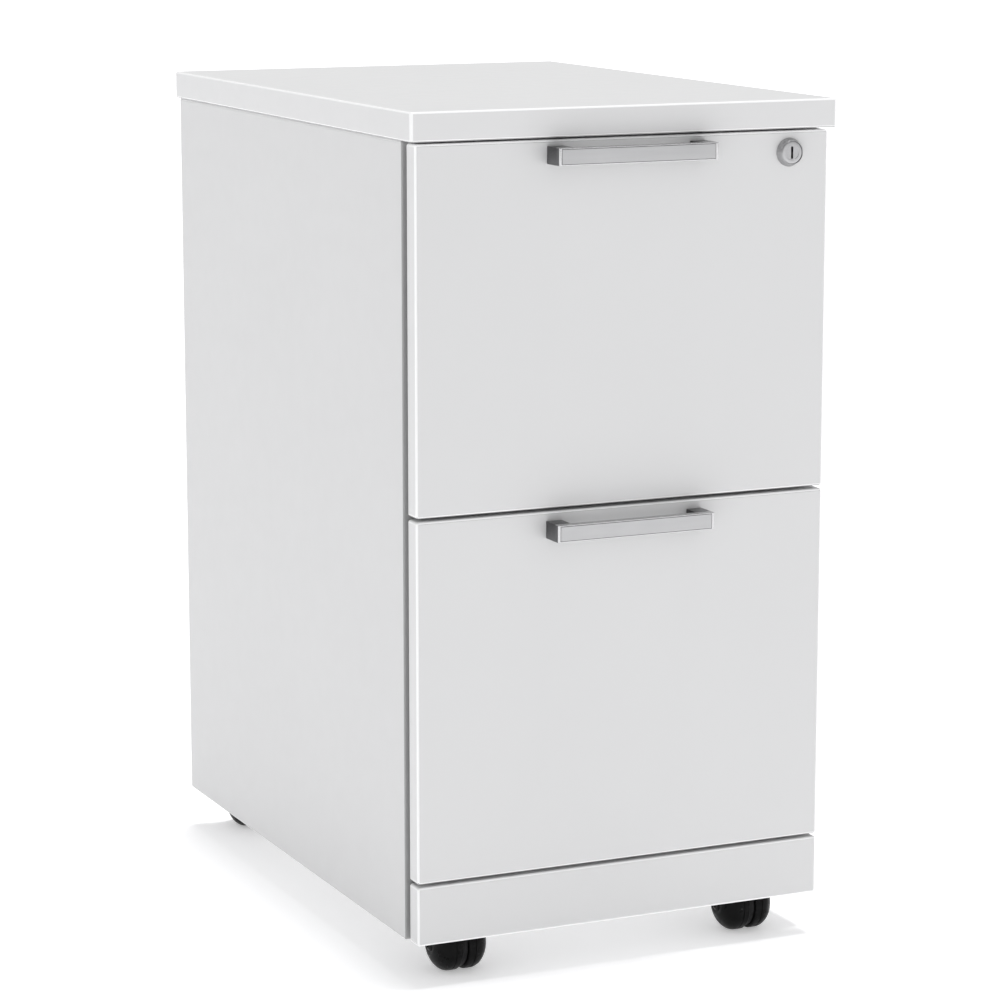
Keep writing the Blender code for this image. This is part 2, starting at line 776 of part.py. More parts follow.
def wheel_profile():
    """Half of a domed wheel's section as (radius, distance from the caster's middle), dome first."""
    facet = 1 / math.cos(math.pi / TURN_STEPS)
    rise = WHEEL_OUTER_FACE - WHEEL_CROWN
    flat = math.asin(HUB_FLAT_RADIUS / WHEEL_RADIUS)
    angles = [flat + (QUARTER_TURN - flat) * i / (DOME_POINTS - 1) for i in range(DOME_POINTS)]
    dome = [(WHEEL_RADIUS * math.sin(a), WHEEL_CROWN + rise * math.cos(a)) for a in angles]
    inner = [
        (WHEEL_CHAMFER_RADIUS, WHEEL_INNER_FACE),
        (WHEEL_BORE_RADIUS / facet, WHEEL_INNER_FACE),
        (WHEEL_BORE_RADIUS / facet, WHEEL_BORE_END),
        (0, WHEEL_BORE_END),
    ]
    hub = (0, dome[0][1])
    return [(radius * facet, distance) for radius, distance in [hub] + dome + inner]


def make_wheel(name, outward, swivel):
    """A wheel on its axle, its dome facing outward along the caster's -X or +X."""
    obj = turned(wheel_profile(), TURN_STEPS)
    turn = Matrix.Rotation(outward * QUARTER_TURN, 4, "Y")
    half_step = Matrix.Rotation(math.pi / TURN_STEPS, 4, "Z")
    obj.rotation_euler = (turn @ half_step).to_euler()
    obj.location = (0, -TRAIL, WHEEL_RADIUS)
    place(obj, name, black_plastic(name + "_plastic"), CABINET)
    obj.parent = swivel


def make_caster(name, x, y, heading):
    """A caster whose wheels trail forward at heading 0 and backward at half a turn."""
    swivel = new_empty(name + "_swivel_axis", (x, y, 0), heading)
    make_mount_plate(name, swivel)
    make_caster_body(name, swivel)
    for wheel, side in SIDES:
        outward = side if heading == 0.0 else -side
        make_wheel(f"{name}_wheel_{wheel}", outward, swivel)


def make_casters():
    reach = TOP_WIDTH / 2 - KINGPIN_INSET
    for name, side in SIDES:
        make_caster("caster_front_" + name, side * reach, depth_y(FRONT_KINGPIN), 0.0)
        make_caster("caster_rear_" + name, side * reach, depth_y(REAR_KINGPIN), math.pi)


# ---------------------------------------------------------------- the cabinet

clear_scene()
CABINET = new_collection("rolling_pedestal_cabinet")
CUTTERS = new_collection("cutters")
make_carcass()
upper_drawer, upper_front = make_drawer("upper", UPPER_BOTTOM, UPPER_TOP, UPPER_HANDLE_DROP)
make_drawer("lower", LOWER_BOTTOM, LOWER_TOP, LOWER_HANDLE_DROP)
make_lock(upper_drawer, upper_front)
make_lock_bar()
make_casters()
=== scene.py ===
"""Looks for a rolling pedestal cabinet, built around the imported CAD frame.

Metres, +Z up, the front faces -Y. Every piece is made where it stands at rest, rides on a CAD body
and takes its place from the frame's own boxes.
"""

import math

import bmesh
import bpy
from mathutils import Matrix, Vector


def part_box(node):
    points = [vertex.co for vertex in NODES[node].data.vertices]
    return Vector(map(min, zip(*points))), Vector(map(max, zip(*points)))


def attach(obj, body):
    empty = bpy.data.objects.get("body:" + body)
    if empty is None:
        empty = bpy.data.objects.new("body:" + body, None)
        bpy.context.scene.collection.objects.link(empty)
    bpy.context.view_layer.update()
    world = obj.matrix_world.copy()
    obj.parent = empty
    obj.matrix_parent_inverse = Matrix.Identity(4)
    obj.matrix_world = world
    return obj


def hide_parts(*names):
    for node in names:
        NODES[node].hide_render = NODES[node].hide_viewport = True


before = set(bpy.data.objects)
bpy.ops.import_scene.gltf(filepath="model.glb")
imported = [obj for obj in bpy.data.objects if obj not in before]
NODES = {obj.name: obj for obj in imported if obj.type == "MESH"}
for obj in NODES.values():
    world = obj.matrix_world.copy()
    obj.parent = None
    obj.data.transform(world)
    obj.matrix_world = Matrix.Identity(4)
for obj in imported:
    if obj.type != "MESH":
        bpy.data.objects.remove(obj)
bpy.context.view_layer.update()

SCENE = bpy.context.scene
QUARTER = math.pi / 2
LEVELS = ("upper", "lower")
SIDES = (("left", -1), ("right", 1))
CORNERS = [(end, side) for end in ("front", "rear") for side in ("left", "right")]

# Boards
BAND = 0.002  # thickness of the edge band round every laminated board
BAND_ROUND = 0.0016  # radius along its edges
BAND_CORNER = 0.0023  # radius at the board's corners
BAND_STEPS = 5
HAIRLINE = 0.00014  # chamfer on each side of the joint between band and board
LOCK_BORE_RADIUS = 0.0089

# Handles
HANDLE_POST = 0.015  # width of a post
HANDLE_BAR = 0.0055  # depth of the bar in front of the finger gap
RIM_GAP = 0.00035  # dark line round the plate
RIM_BELOW_PLATE = 0.0002
RECESS_BELOW_PLATE = 0.0002
SOFT_EDGE = 0.0005

# Lock
KEYWAY_WIDTH = 0.0021
KEYWAY_HEIGHT = 0.0105
KEYWAY_DEPTH = 0.009
NUT_BORE = 0.0087
NUT_RADIUS = 0.0118
NUT_THICKNESS = 0.0028
BOLT_RADIUS = 0.0036
BOLT_HEAD = 0.0022

# Casters
AXLE_HEIGHT = 0.025
AXLE_REACH = 0.016
HUB_RADIUS = 0.0074
WHEEL_CROWN = 0.010  # distance of the widest ring from the caster's middle
WHEEL_GROOVE = 0.0005
FENDER_RADII = (0.0263, 0.0285)
FENDER_SPAN = (50, 135)  # degrees from the trailing side up and over
FENDER_REACH = 0.016
WEB_RADII = (0.0225, 0.0274)
WEB_REACH = 0.002
KINGPIN_HOLE = 0.0043
PLATE_SHEET = 0.0022
PLATE_SCREW_OFFSET = 0.0165

# Ball slides
SHEET = 0.0012
HOLES = (0.020, 0.148, 0.276, 0.404, 0.480)  # along a member from its front end
SCREWED = (0.020, 0.276, 0.480)
MEMBER_LENGTH = 0.5
HOLE_RADIUS = 0.0023
SLOT_START = 0.012  # from the round hole in front of it
SLOT_LENGTH = 0.0085
SLOT_HALF_HEIGHT = 0.0021
THROUGH = 0.004  # reach of a cutter on each side of the sheet

# Fittings
BUMPER_INSET = 0.0075
BUMPER_FROM_EDGES = (0.022, 0.030)  # lower and upper pair
CAM_FROM_EDGES = (0.045, 0.040)
CAM_SETBACK = 0.024
SCREW_SETBACK = 0.006
BACK_SCREW_INSET = 0.012

# Turned pieces
FINE = 72
MEDIUM = 32
HEXAGON = 6

MERGE = 0.000002  # corners closer than this after a Boolean are one corner

# Camera, placed from the top panel's low front left corner and its upper face
CAMERA_LENS = 125.54
CAMERA_OFFSET = (-1.1168, -2.6253, 0.2135)
CAMERA_DOWN = 10.624  # degrees below the horizon
CAMERA_RIGHT = 24.512  # degrees right of straight back

# Studio light
FLOOR_GLOW = 0.37
WORLD_STRENGTH = 0.52


# ---------------------------------------------------------------- materials


def link(tree, source, target):
    tree.links.new(source, target)


def noise(tree, vector, scale, detail=3.0, roughness=0.55):
    node = tree.nodes.new("ShaderNodeTexNoise")
    node.inputs["Scale"].default_value = scale
    node.inputs["Detail"].default_value = detail
    node.inputs["Roughness"].default_value = roughness
    link(tree, vector, node.inputs["Vector"])
    return node.outputs["Fac"]


def spread(tree, value, low, high, start=0.3, end=0.7):
    """Maps a factor that runs from start to end onto low to high."""
    node = tree.nodes.new("ShaderNodeMapRange")
    for name, number in zip(("From Min", "From Max", "To Min", "To Max"), (start, end, low, high)):
        node.inputs[name].default_value = number
    link(tree, value, node.inputs["Value"])
    return node.outputs["Result"]


def mixed(tree, factor, first, second):
    """A colour between two, each a socket or three numbers."""
    node = tree.nodes.new("ShaderNodeMix")
    node.data_type = "RGBA"
    link(tree, factor, node.inputs["Factor"])
    for socket, color in ((node.inputs[6], first), (node.inputs[7], second)):
        if isinstance(color, bpy.types.NodeSocket):
            link(tree, color, socket)
        else:
            socket.default_value = (*color, 1.0)
    return node.outputs[2]


def stretched(tree, coordinates, scale):
    node = tree.nodes.new("ShaderNodeMapping")
    node.inputs["Scale"].default_value = scale
    link(tree, coordinates, node.inputs["Vector"])
    return node.outputs["Vector"]


def finish_material(
    name, color, roughness, metallic=0.0, specular=0.5, glow=0.0,
    mottle=(6.0, 0.01), gloss=(40.0, 0.04), relief=(1500.0, 0.000004), stretch=(1, 1, 1),
    specks=None, wear=None, spangle=None,
):
    """A surface with mottling, uneven gloss and relief, and specks, wear or spangle where asked."""
    material = bpy.data.materials.new(name)
    material.use_nodes = True
    tree = material.node_tree
    shader = tree.nodes["Principled BSDF"]
    shader.inputs["Metallic"].default_value = metallic
    shader.inputs["Specular IOR Level"].default_value = specular
    shader.inputs["Emission Color"].default_value = (1.0, 1.0, 1.0, 1.0)
    shader.inputs["Emission Strength"].default_value = glow
    place = tree.nodes.new("ShaderNodeTexCoord").outputs["Object"]
    grain = stretched(tree, place, stretch)
    dark = [c * (1 - mottle[1]) for c in color]
    light = [min(1.0, c * (1 + mottle[1])) for c in color]
    base = mixed(tree, spread(tree, noise(tree, place, mottle[0]), 0, 1), dark, light)
    rough = spread(tree, noise(tree, grain, gloss[0]), roughness - gloss[1], roughness + gloss[1])
    height = noise(tree, grain, relief[0], 4.0, 0.6)
    if spangle:
        cells = tree.nodes.new("ShaderNodeTexVoronoi")
        cells.inputs["Scale"].default_value = spangle[0]
        link(tree, place, cells.inputs["Vector"])
        tone = tree.nodes.new("ShaderNodeSeparateColor")
        link(tree, cells.outputs["Color"], tone.inputs["Color"])
        shade = spread(tree, tone.outputs[0], 0, spangle[1], 0, 1)
        base = mixed(tree, shade, base, spangle[2])
    if specks:
        scale, share, tint = specks
        dots = spread(tree, noise(tree, place, scale, 5.0, 0.7), 0, 1, share, share + 0.08)
        base = mixed(tree, dots, base, tint)
    if wear:
        worn = tree.nodes.new("ShaderNodeNewGeometry").outputs["Pointiness"]
        base = mixed(tree, spread(tree, worn, 0, wear[0], 0.52, 0.62), base, wear[1])
    bump = tree.nodes.new("ShaderNodeBump")
    bump.inputs["Distance"].default_value = relief[1]
    link(tree, height, bump.inputs["Height"])
    link(tree, base, shader.inputs["Base Color"])
    link(tree, rough, shader.inputs["Roughness"])
    link(tree, bump.outputs["Normal"], shader.inputs["Normal"])
    return material


LAMINATE = finish_material(
    "white_laminate", (0.715, 0.715, 0.716), 0.42, specular=0.3,
    mottle=(5.0, 0.006), gloss=(60.0, 0.05), relief=(1300.0, 0.000005),
)
# Painted shade: a darker copy of the white laminate for the side panels.
SHADED_SIDE_LAMINATE = finish_material(
    "white_laminate_sides_painted_shade", (0.685, 0.685, 0.686), 0.42, specular=0.25,
    mottle=(5.0, 0.006), gloss=(60.0, 0.05), relief=(1300.0, 0.000005),
)
BANDING = finish_material(
    "edge_band", (0.725, 0.725, 0.726), 0.34, specular=0.3,
    mottle=(14.0, 0.006), gloss=(90.0, 0.05), relief=(700.0, 0.000003),
)
# Painted highlight: a near-white copy of the edge band for its rounded edges.
PAINTED_HIGHLIGHT_BAND = finish_material(
    "edge_band_painted_highlight", (0.97, 0.97, 0.97), 0.22,
    mottle=(30.0, 0.006), gloss=(120.0, 0.05), relief=(600.0, 0.000002),
)
# Painted shade: a grey copy of the edge band, for the side panels' front edges in the gap behind the
# fronts and for a shadow line along rounded edges that face down.
PAINTED_SHADE_BAND = finish_material(
    "edge_band_painted_shade", (0.36, 0.36, 0.362), 0.42,
    mottle=(14.0, 0.02), gloss=(90.0, 0.05), relief=(700.0, 0.000003),
)
MELAMINE = finish_material(
    "white_melamine", (0.70, 0.70, 0.70), 0.5,
    mottle=(7.0, 0.012), gloss=(45.0, 0.06), relief=(900.0, 0.000008),
)
ZINC = finish_material(
    "zinc_steel", (0.60, 0.61, 0.62), 0.33, 1.0,
    mottle=(30.0, 0.06), gloss=(120.0, 0.08), relief=(600.0, 0.000006),
    spangle=(420.0, 0.35, (0.50, 0.52, 0.55)),
)
# Painted highlight: a bright copy of the handle metal for the bar's front rim, top and underside.
HIGHLIGHT_HANDLE_METAL = finish_material(
    "handle_rim_painted_highlight", (0.55, 0.55, 0.555), 0.24, 1.0,
    mottle=(40.0, 0.02), gloss=(500.0, 0.04), relief=(2600.0, 0.000002),
)
# Painted shade: a dark copy of the handle metal for the bar's ends, posts and back, lighter where its
# edges are worn.
SHADED_HANDLE_METAL = finish_material(
    "satin_metal", (0.06, 0.06, 0.062), 0.30, 1.0,
    mottle=(40.0, 0.03), gloss=(1500.0, 0.05), relief=(2600.0, 0.000004), stretch=(0.02, 1, 1),
    wear=(0.4, (0.30, 0.30, 0.31)),
)
PLATE = finish_material(
    "plate_metal", (0.44, 0.44, 0.445), 0.36, 1.0,
    mottle=(25.0, 0.03), gloss=(1800.0, 0.06), relief=(3000.0, 0.000005), stretch=(0.015, 1, 1),
)
LOCK_SATIN = finish_material(
    "lock_metal", (0.42, 0.42, 0.425), 0.34, 1.0,
    mottle=(120.0, 0.04), gloss=(900.0, 0.06), relief=(2500.0, 0.000003),
    wear=(0.5, (0.60, 0.60, 0.61)),
)
BLACK_STEEL = finish_material(
    "black_steel", (0.06, 0.06, 0.065), 0.55, 0.6,
    mottle=(60.0, 0.25), gloss=(90.0, 0.1), relief=(500.0, 0.00002),
    specks=(220.0, 0.62, (0.16, 0.12, 0.10)),
)
GREY_PLASTIC = finish_material(
    "grey_plastic", (0.55, 0.56, 0.57), 0.45,
    mottle=(12.0, 0.02), gloss=(150.0, 0.05), relief=(1800.0, 0.00001),
)
BLACK_PLASTIC = finish_material(
    "black_plastic", (0.006, 0.006, 0.0065), 0.38, specular=0.12,
    mottle=(50.0, 0.2), gloss=(200.0, 0.08), relief=(2200.0, 0.00001),
    wear=(0.3, (0.03, 0.03, 0.03)),
)
BLACK_TREAD = finish_material(
    "black_tread", (0.004, 0.004, 0.0042), 0.33, specular=0.09,
    mottle=(70.0, 0.25), gloss=(160.0, 0.1), relief=(1500.0, 0.00001),
    specks=(130.0, 0.66, (0.035, 0.035, 0.036)),
)
RUBBER = finish_material(
    "clear_rubber", (0.42, 0.43, 0.44), 0.35,
    mottle=(100.0, 0.05), gloss=(300.0, 0.05), relief=(1200.0, 0.00001),
)


# ---------------------------------------------------------------- mesh helpers


def to_mesh(work, name):
    bmesh.ops.recalc_face_normals(work, faces=work.faces)
    mesh = bpy.data.meshes.new(name)
    work.to_mesh(mesh)
    work.free()
    return mesh


def soften(work, edges, radius, steps):
    bmesh.ops.bevel(
        work, geom=edges, offset=radius, segments=steps, profile=0.5,
        affect="EDGES", clamp_overlap=True,
    )


def add_box(work, low, high, radius=0.0, steps=3):
    """A box between two corners, with its edges rounded."""
    made = bmesh.ops.create_cube(work, size=1.0)["verts"]
    size = Vector(high) - Vector(low)
    middle = (Vector(high) + Vector(low)) / 2
    bmesh.ops.scale(work, vec=size, verts=made)
    bmesh.ops.translate(work, vec=middle, verts=made)
    if radius:
        soften(work, [e for e in work.edges if e.verts[0] in made], radius, steps)


def box_mesh(low, high, radius=0.0, steps=3):
    work = bmesh.new()
    add_box(work, low, high, radius, steps)
    return to_mesh(work, "box")


def add_turned(work, profile, steps=FINE, matrix=None, closed=False):
    """A shape turned about Z from (radius, height) points; a point on the axis closes it there."""
    matrix = matrix or Matrix.Identity(4)
    turn = [math.tau * i / steps for i in range(steps)]
    rings = []
    for radius, height in profile:
        if radius > 0:
            spots = [(radius * math.cos(a), radius * math.sin(a), height) for a in turn]
        else:
            spots = [(0, 0, height)]
        rings.append([work.verts.new(matrix @ Vector(spot)) for spot in spots])
    pairs = list(zip(rings, rings[1:]))
    if closed:
        pairs.append((rings[-1], rings[0]))
    for first, second in pairs:
        for i in range(steps):
            j = (i + 1) % steps
            corners = [
                first[i % len(first)], first[j % len(first)],
                second[j % len(second)], second[i % len(second)],
            ]
            unique = list(dict.fromkeys(corners))
            if len(unique) > 2:
                work.faces.new(unique)


def turned_mesh(profile, steps=FINE, matrix=None, closed=False):
    work = bmesh.new()
    add_turned(work, profile, steps, matrix, closed)
    return to_mesh(work, "turned")


def prism_mesh(outline, low, high, axis, radius=0.0, steps=3):
    """A flat outline given depth from low to high along an axis: 0, 1 or 2."""
    others = [k for k in range(3) if k != axis]
    work = bmesh.new()
    caps = []
    for depth in (low, high):
        corners = []
        for u, v in outline:
            point = [0.0, 0.0, 0.0]
            point[axis], point[others[0]], point[others[1]] = depth, u, v
            corners.append(work.verts.new(point))
        caps.append(corners)
        work.faces.new(corners)
    count = len(outline)
    for i in range(count):
        j = (i + 1) % count
        work.faces.new((caps[0][i], caps[0][j], caps[1][j], caps[1][i]))
    bmesh.ops.recalc_face_normals(work, faces=work.faces)
    if radius:
        sharp = [e for e in work.edges if e.calc_face_angle(0) > math.radians(30)]
        soften(work, sharp, radius, steps)
    return to_mesh(work, "prism")


def combined(mesh, others, operation):
    """The mesh after a Boolean with each of the others."""
    collection = bpy.data.collections.new("operands")
    helpers = []
    for other in others:
        helper = bpy.data.objects.new("operand", other)
        collection.objects.link(helper)
        helpers.append(helper)
    base = bpy.data.objects.new("operand", mesh)
    SCENE.collection.objects.link(base)
    SCENE.collection.children.link(collection)
    modifier = base.modifiers.new("boolean", "BOOLEAN")
    modifier.operand_type = "COLLECTION"
    modifier.collection = collection
    modifier.operation = operation
    modifier.solver = "EXACT"
    bpy.context.view_layer.update()
    result = bpy.data.meshes.new_from_object(base.evaluated_get(bpy.context.evaluated_depsgraph_get()))
    for helper in helpers + [base]:
        bpy.data.objects.remove(helper)
    bpy.data.collections.remove(collection)
    for used in [mesh] + others:
        if used.users == 0:
            bpy.data.meshes.remove(used)
    work = bmesh.new()
    work.from_mesh(result)
    bpy.data.meshes.remove(result)
    bmesh.ops.remove_doubles(work, verts=list(work.verts), dist=MERGE)
    return to_mesh(work, "combined")


def arc(centre, radius, start, end, count):
    angles = [start + (end - start) * i / (count - 1) for i in range(count)]
    return [(centre[0] + radius * math.cos(a), centre[1] + radius * math.sin(a)) for a in angles]


def new_piece(name, mesh, material, body, stands_for=()):
    """Puts a finished mesh in the scene as one piece of the cabinet."""
    mesh.name = name
    mesh.materials.clear()
    mesh.materials.append(material)
    mesh.polygons.foreach_set("use_smooth", [True] * len(mesh.polygons))
    mesh.set_sharp_from_angle(angle=math.radians(38))
    obj = bpy.data.objects.new(name, mesh)
    SCENE.collection.objects.link(obj)
    normals = obj.modifiers.new("even_normals", "WEIGHTED_NORMAL")
    normals.keep_sharp = True
    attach(obj, body)
    if stands_for:
        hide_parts(*stands_for)
    return obj


def scattered(name, template, matrices, material, body):
    """One piece made of copies of a small mesh, such as a row of screws."""
    work = bmesh.new()
    for matrix in matrices:
        copy = template.copy()
        copy.transform(matrix)
        work.from_mesh(copy)
        bpy.data.meshes.remove(copy)
    mesh = bpy.data.meshes.new(name)
    work.to_mesh(mesh)
    work.free()
    return new_piece(name, mesh, material, body)


def facing(point, direction, turn=0.0):
    """The matrix that stands a Z-up template on a point with its Z along a direction."""
    towards = Vector(direction).to_track_quat("Z", "Y").to_matrix().to_4x4()
    return Matrix.Translation(point) @ towards @ Matrix.Rotation(turn, 4, "Z")


def paint_faces(obj, material, chosen):
    """Gives a second material to the faces for which chosen(face) holds."""
    obj.data.materials.append(material)
    index = len(obj.data.materials) - 1
    for face in obj.data.polygons:
        if chosen(face):
            face.material_index = index


def repaint(material, *nodes):
    """Gives CAD nodes whose shape stays a better material."""
    for node in nodes:
        for slot in NODES[node].material_slots:
            slot.material = material


# ---------------------------------------------------------------- edge-banded boards


def band_mesh(low, high, thin):
    """A closed frame of edge band round a board: rounded outside, a hairline joint inside."""
    u, v = (k for k in range(3) if k != thin)
    depth = high[thin] - low[thin]
    lower = arc((BAND_ROUND, BAND_ROUND), BAND_ROUND, -QUARTER, -math.pi, BAND_STEPS)
    upper = arc((BAND_ROUND, depth - BAND_ROUND), BAND_ROUND, math.pi, QUARTER, BAND_STEPS)
    section = [(BAND, HAIRLINE), (BAND - HAIRLINE, 0)] + lower + upper
    section += [(BAND - HAIRLINE, depth), (BAND, depth - HAIRLINE)]
    work = bmesh.new()
    loops = []
    for inset, rise in section:
        loop = []
        for k, (su, sv) in enumerate(((1, 1), (-1, 1), (-1, -1), (1, -1))):
            corner = (high[u] if su > 0 else low[u], high[v] if sv > 0 else low[v])
            centre = (corner[0] - su * BAND_CORNER, corner[1] - sv * BAND_CORNER)
            for cu, cv in arc(centre, BAND_CORNER - inset, k * QUARTER, (k + 1) * QUARTER, BAND_STEPS):
                point = [0.0, 0.0, 0.0]
                point[u], point[v], point[thin] = cu, cv, low[thin] + rise
                loop.append(work.verts.new(point))
        loops.append(loop)
    for first, second in zip(loops, loops[1:] + loops[:1]):
        for i in range(len(first)):
            j = (i + 1) % len(first)
            work.faces.new((first[i], first[j], second[j], second[i]))
    return to_mesh(work, "band")


def oblique(face):
    """Whether a face belongs to a rounded edge, so that it stands square to no axis."""
    return max(abs(c) for c in face.normal) < 0.985


def banded_board(node, body, holes=(), highlight_edges=True):
    """A laminated board and its edge band, in place of a CAD board.

    Where asked, the band's rounded edges get a painted highlight, other than those that face down into a
    gap, which get a painted shadow line. Otherwise the band's front gets painted shade, and the board a
    darker copy of the laminate as painted shade.
    """
    low, high = (list(corner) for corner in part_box(node))
    size = [b - a for a, b in zip(low, high)]
    thin = size.index(min(size))
    band = band_mesh(low, high, thin)
    band = new_piece(node + "_edge_band", band, BANDING, body, [node])
    # Painted highlight on the band's rounded edges, and a painted shadow line on those that face down.
    if highlight_edges:
        paint_faces(band, PAINTED_HIGHLIGHT_BAND, oblique)
        if node != "kick_panel":
            paint_faces(band, PAINTED_SHADE_BAND, lambda face: oblique(face) and face.normal.z < -0.2)
    else:
        # Painted shade on the band's front, where the side panel's front edge lies in the shadow of the
        # gap.
        front = low[1] + BAND
        paint_faces(band, PAINTED_SHADE_BAND, lambda face: face.normal.y < -0.3 and face.center.y < front)
    inset = [0.0 if k == thin else BAND + HAIRLINE / 4 for k in range(3)]
    core_low = [a + i for a, i in zip(low, inset)]
    core_high = [b - i for b, i in zip(high, inset)]
    core = box_mesh(core_low, core_high, HAIRLINE, 1)
    if holes:
        core = combined(core, list(holes), "DIFFERENCE")
    # Boards without painted highlights, the side panels, take the darker copy of the laminate as painted
    # shade.
    face = LAMINATE if highlight_edges else SHADED_SIDE_LAMINATE
    new_piece(node + "_board", core, face, body, [node])


def make_boards():
    for node in ("top_panel", "kick_panel"):
        banded_board(node, "carcass")
    for side, _ in SIDES:
        banded_board("side_panel_" + side, "carcass", highlight_edges=False)
    low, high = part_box("lock_housing")
    axis = facing(((low.x + high.x) / 2, 0, (low.z + high.z) / 2), (0, -1, 0))
    near, far = 0.2, 0.4  # on both sides of the board, measured forward from the cabinet's middle
    bore = [(0, near), (LOCK_BORE_RADIUS, near), (LOCK_BORE_RADIUS, far), (0, far)]
    banded_board("upper_drawer_front", "upper_drawer", [turned_mesh(bore, MEDIUM, axis)])
    banded_board("lower_drawer_front", "lower_drawer")
    repaint(LAMINATE, "back_panel")
    repaint(MELAMINE, "bottom_panel", "front_rail")
    repaint(BLACK_STEEL, "counterweight")
    for level in LEVELS:
        boards = ("side_left", "side_right", "back", "bottom")
        repaint(MELAMINE, *(f"{level}_drawer_{board}" for board in boards))
        repaint(GREY_PLASTIC, *(f"{level}_file_rail_{side}" for side, _ in SIDES))


make_boards()


# ---------------------------------------------------------------- handles


def make_handle(level):
    """A bar on two posts in one metal, with a painted highlight on its front and top and painted shade
    on the ends and posts, and the plate let into it.
    """
    body = level + "_drawer"
    low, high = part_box(level + "_handle")
    plate_low, plate_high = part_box(level + "_handle_plate")
    front = plate_low.y + RIM_BELOW_PLATE
    rear = low.y + HANDLE_BAR
    outline = [
        (low.x, high.y), (low.x, front), (high.x, front), (high.x, high.y),
        (high.x - HANDLE_POST, high.y), (high.x - HANDLE_POST, rear),
        (low.x + HANDLE_POST, rear), (low.x + HANDLE_POST, high.y),
    ]
    bar = prism_mesh(outline, low.z, high.z, 2, SOFT_EDGE)
    recess_low = plate_low - Vector((RIM_GAP, THROUGH / 2, RIM_GAP))
    recess_high = plate_high + Vector((RIM_GAP, RECESS_BELOW_PLATE, RIM_GAP))
    bar = combined(bar, [box_mesh(recess_low, recess_high)], "DIFFERENCE")
    work = bmesh.new()
    work.from_mesh(bar)
    whole = list(work.verts) + list(work.edges) + list(work.faces)
    split = rear - 1.2 * SOFT_EDGE  # where the painted highlight on the bar's top ends
    bmesh.ops.bisect_plane(work, geom=whole, plane_co=(0, split, 0), plane_no=(0, 1, 0))
    bar = to_mesh(work, "bar")
    bar = new_piece(level + "_handle_bar", bar, SHADED_HANDLE_METAL, body, [level + "_handle"])
    rim = front + SOFT_EDGE
    # Painted highlight on the front rim and on the top and underside of the bar; the rest keeps the
    # painted shade.
    paint_faces(bar, HIGHLIGHT_HANDLE_METAL, lambda face: face.center.y < rim and face.normal.y < -0.2)
    paint_faces(bar, HIGHLIGHT_HANDLE_METAL, lambda face: face.center.y < rear and abs(face.normal.z) > 0.5)
    plate = box_mesh(plate_low, plate_high, 0.00025, 2)
    name = level + "_handle_plate"
    new_piece(name + "_face", plate, PLATE, body, [name])


for level in LEVELS:
    make_handle(level)


# ---------------------------------------------------------------- lock


def make_lock():
    """Turned pieces from (radius, distance in front of the drawer front's face) points."""
    low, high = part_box("lock_housing")
    centre = Vector(((low.x + high.x) / 2, 0, (low.z + high.z) / 2))
    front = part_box("upper_drawer_front")[0].y
    axis = facing((centre.x, front, centre.z), (0, -1, 0))
    reach = front - low.y
    rear = front - high.y
    outer = (high.x - low.x) / 2
    bezel = [
        (0.0099, reach - 0.0002), (0.0101, reach), (0.0103, reach - 0.00005),
        (0.01055, reach - 0.0003), (outer - 0.0001, 0.0011), (outer, 0.0008),
        (outer, 0.0003), (0.0085, 0.0003), (0.0085, rear),
        (0.0068, rear), (0.0068, reach - 0.003), (0.0099, reach - 0.003),
    ]
    mesh = turned_mesh(bezel, FINE, axis, True)
    new_piece("lock_bezel", mesh, LOCK_SATIN, "upper_drawer", ["lock_housing"])
    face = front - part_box("lock_plug")[0].y
    plug_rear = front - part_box("lock_plug")[1].y
    head = [
        (0, face - 0.0004), (0.0062, face - 0.0004), (0.0065, face - 0.0001),
        (0.0091, face - 0.0001), (0.0095, face - 0.0004), (0.0095, face - 0.0027),
        (0.0065, face - 0.0027), (0.0065, plug_rear), (0, plug_rear),
    ]
    plug = turned_mesh(head, FINE, axis)
    middle = Vector((centre.x, front - face, centre.z))
    keyway_low = middle - Vector((KEYWAY_WIDTH / 2, THROUGH / 2, KEYWAY_HEIGHT / 2))
    keyway_high = middle + Vector((KEYWAY_WIDTH / 2, KEYWAY_DEPTH, KEYWAY_HEIGHT / 2))
    plug = combined(plug, [box_mesh(keyway_low, keyway_high)], "DIFFERENCE")
    new_piece("lock_plug_turned", plug, LOCK_SATIN, "lock_cylinder", ["lock_plug"])
    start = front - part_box("upper_drawer_front")[1].y
    end = start - NUT_THICKNESS
    nut = [(NUT_BORE, start), (NUT_RADIUS, start), (NUT_RADIUS, end), (NUT_BORE, end)]
    new_piece("lock_nut", turned_mesh(nut, HEXAGON, axis, True), ZINC, "upper_drawer")
    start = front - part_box("lock_cam")[1].y
    end = start - BOLT_HEAD
    bolt = [
        (0, end), (BOLT_RADIUS - 0.0004, end), (BOLT_RADIUS, end + 0.0004),
        (BOLT_RADIUS, start), (0, start),
    ]
    new_piece("lock_cam_bolt", turned_mesh(bolt, HEXAGON, axis), ZINC, "lock_cylinder")
    repaint(ZINC, "lock_cam", "lock_bar", "lock_catch_upper", "lock_catch_lower")


make_lock()


# ---------------------------------------------------------------- casters


